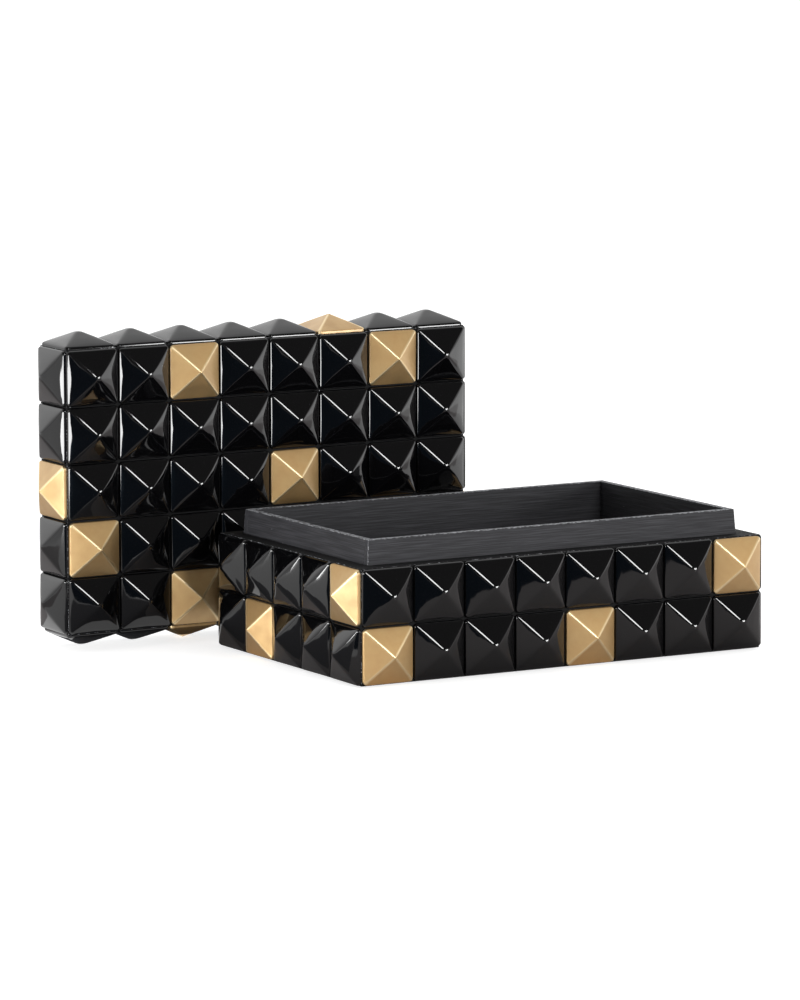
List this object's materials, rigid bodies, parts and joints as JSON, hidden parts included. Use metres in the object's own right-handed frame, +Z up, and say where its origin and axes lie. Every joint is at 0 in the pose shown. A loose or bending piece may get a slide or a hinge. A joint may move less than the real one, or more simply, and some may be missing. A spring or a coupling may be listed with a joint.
{
  "type": "keepsake box",
  "caption": "Rectangular keepsake box covered in black and gold pyramid studs, shown open: its lift-off lid stands on one long side behind the base, which has a raised inner lip.",
  "frame": {"origin": "centre of the base's underside, on its felt", "axes": "+X along the box to the right, +Y from front to back, +Z up"},
  "size_m": [0.3908, 0.2489, 0.1958],
  "materials": {
    "black_lacquer": "high gloss black lacquer over cast resin",
    "gold_metal": "satin, lightly brushed",
    "black_stained_board": "black stain, matt",
    "black_painted_board": "charcoal-black paint, rubbed back at the edges",
    "black_felt": "pressed felt"
  },
  "bodies": {
    "base": {"base_black_studs_back_row1": "black_lacquer", "base_black_studs_back_row2": "black_lacquer", "base_black_studs_front_row1": "black_lacquer", "base_black_studs_front_row2": "black_lacquer", "base_black_studs_left_row1": "black_lacquer", "base_black_studs_left_row2": "black_lacquer", "base_black_studs_right_row1": "black_lacquer", "base_black_studs_right_row2": "black_lacquer", "base_felt": "black_felt", "base_floor_board": "black_stained_board", "base_gold_stud_back_row1_5": "gold_metal", "base_gold_stud_back_row2_3": "gold_metal", "base_gold_stud_back_row2_7": "gold_metal", "base_gold_stud_front_row1_1": "gold_metal", "base_gold_stud_front_row1_5": "gold_metal", "base_gold_stud_front_row2_8": "gold_metal", "base_gold_stud_left_row1_4": "gold_metal", "base_gold_stud_left_row2_1": "gold_metal", "base_gold_stud_right_row1_2": "gold_metal", "base_gold_stud_right_row2_4": "gold_metal", "base_inner_floor": "black_painted_board", "base_lip_back": "black_painted_board", "base_lip_front": "black_painted_board", "base_lip_left": "black_painted_board", "base_lip_right": "black_painted_board", "base_wall_back": "black_stained_board", "base_wall_front": "black_stained_board", "base_wall_left": "black_stained_board", "base_wall_right": "black_stained_board"},
    "lid": {"lid_black_studs_back_row1": "black_lacquer", "lid_black_studs_front_row1": "black_lacquer", "lid_black_studs_left_row1": "black_lacquer", "lid_black_studs_right_row1": "black_lacquer", "lid_black_studs_top_row1": "black_lacquer", "lid_black_studs_top_row2": "black_lacquer", "lid_black_studs_top_row3": "black_lacquer", "lid_black_studs_top_row4": "black_lacquer", "lid_black_studs_top_row5": "black_lacquer", "lid_gold_stud_back_row1_6": "gold_metal", "lid_gold_stud_front_row1_3": "gold_metal", "lid_gold_stud_front_row1_7": "gold_metal", "lid_gold_stud_left_row1_3": "gold_metal", "lid_gold_stud_right_row1_2": "gold_metal", "lid_gold_stud_top_row1_3": "gold_metal", "lid_gold_stud_top_row2_1": "gold_metal", "lid_gold_stud_top_row2_7": "gold_metal", "lid_gold_stud_top_row3_5": "gold_metal", "lid_gold_stud_top_row5_3": "gold_metal", "lid_gold_stud_top_row5_7": "gold_metal", "lid_lining_panel": "black_painted_board", "lid_top_board": "black_stained_board", "lid_wall_back": "black_stained_board", "lid_wall_front": "black_stained_board", "lid_wall_left": "black_stained_board", "lid_wall_right": "black_stained_board"}
  },
  "joints": [
    {"name": "lid_lift", "type": "slide", "parent": "base", "child": "lid", "axis": [0, 0, 1], "range_m": [0, 0.25]}
  ]
}
